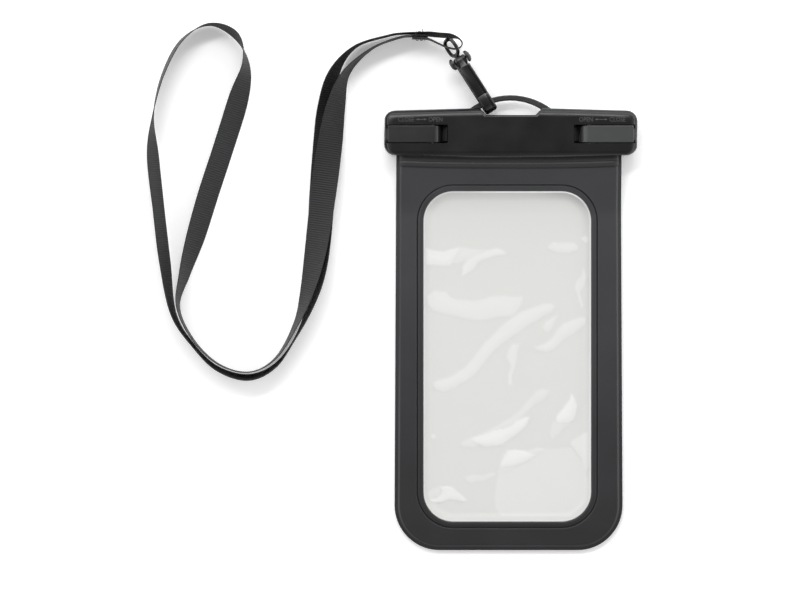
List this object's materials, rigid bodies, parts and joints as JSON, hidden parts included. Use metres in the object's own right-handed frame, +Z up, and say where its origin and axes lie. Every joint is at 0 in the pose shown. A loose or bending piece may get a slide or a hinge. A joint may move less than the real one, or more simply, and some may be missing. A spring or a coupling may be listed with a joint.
{
  "type": "waterproof phone pouch",
  "caption": "Waterproof phone pouch of black and clear film, gripped at its mouth by a hard clasp with turning levers, with a strap arch, snap hook and woven neck ribbon.",
  "frame": {"origin": "on the surface that the pouch lies on, under the middle of the pouch without its ribbon and hook", "axes": "+Z up, out of the pouch's front; +Y from the bottom of the bag to the clasp; +X to the right of the front"},
  "size_m": [0.2283, 0.2459, 0.0141],
  "materials": {
    "clasp": "moulded black ABS, satin",
    "pin_steel": "drawn steel wire",
    "silicone": "soft grey silicone strip",
    "black_film": "welded black TPU film, satin",
    "clear_film": "clear TPU film, slightly creased",
    "hook_plastic": "moulded black acetal, smooth",
    "ribbon": "woven black polyester, cross ribs",
    "thread": "black polyester sewing thread"
  },
  "bodies": {
    "pouch": {"front_bar": "clasp", "rear_bar": "clasp", "left_lever_pin": "pin_steel", "right_lever_pin": "pin_steel", "front_seal": "silicone", "rear_seal": "silicone", "front_frame": "black_film", "rear_frame": "black_film", "front_window": "clear_film", "rear_window": "clear_film", "front_mouth_band": "black_film", "rear_mouth_band": "black_film", "swivel_eye": "hook_plastic", "neck_ribbon": "ribbon", "ribbon_stitching": "thread"},
    "left_lever": {"left_lever": "clasp"},
    "right_lever": {"right_lever": "clasp"},
    "hook": {"hook_body": "hook_plastic", "gate_pin": "hook_plastic"},
    "gate": {"hook_gate": "hook_plastic"}
  },
  "joints": [
    {"name": "left_lever_turn", "type": "hinge", "parent": "pouch", "child": "left_lever", "pos_m": [-0.0362, 0.08785, 0.01], "axis": [0, 1, 0], "range_deg": [0, 95]},
    {"name": "right_lever_turn", "type": "hinge", "parent": "pouch", "child": "right_lever", "pos_m": [0.0362, 0.08785, 0.01], "axis": [0, -1, 0], "range_deg": [0, 95]},
    {"name": "hook_swivel", "type": "hinge", "parent": "pouch", "child": "hook", "pos_m": [-0.02335, 0.1219, 0.007], "axis": [0.5373, -0.8434, 0], "range_deg": [-8, 8]},
    {"name": "gate_turn", "type": "hinge", "parent": "hook", "child": "gate", "pos_m": [-0.02351, 0.12215, 0.0112], "axis": [0.8434, 0.5373, 0], "range_deg": [0, 16], "stiffness_Nm_per_rad": 0.02, "springref_deg": -17.19}
  ]
}
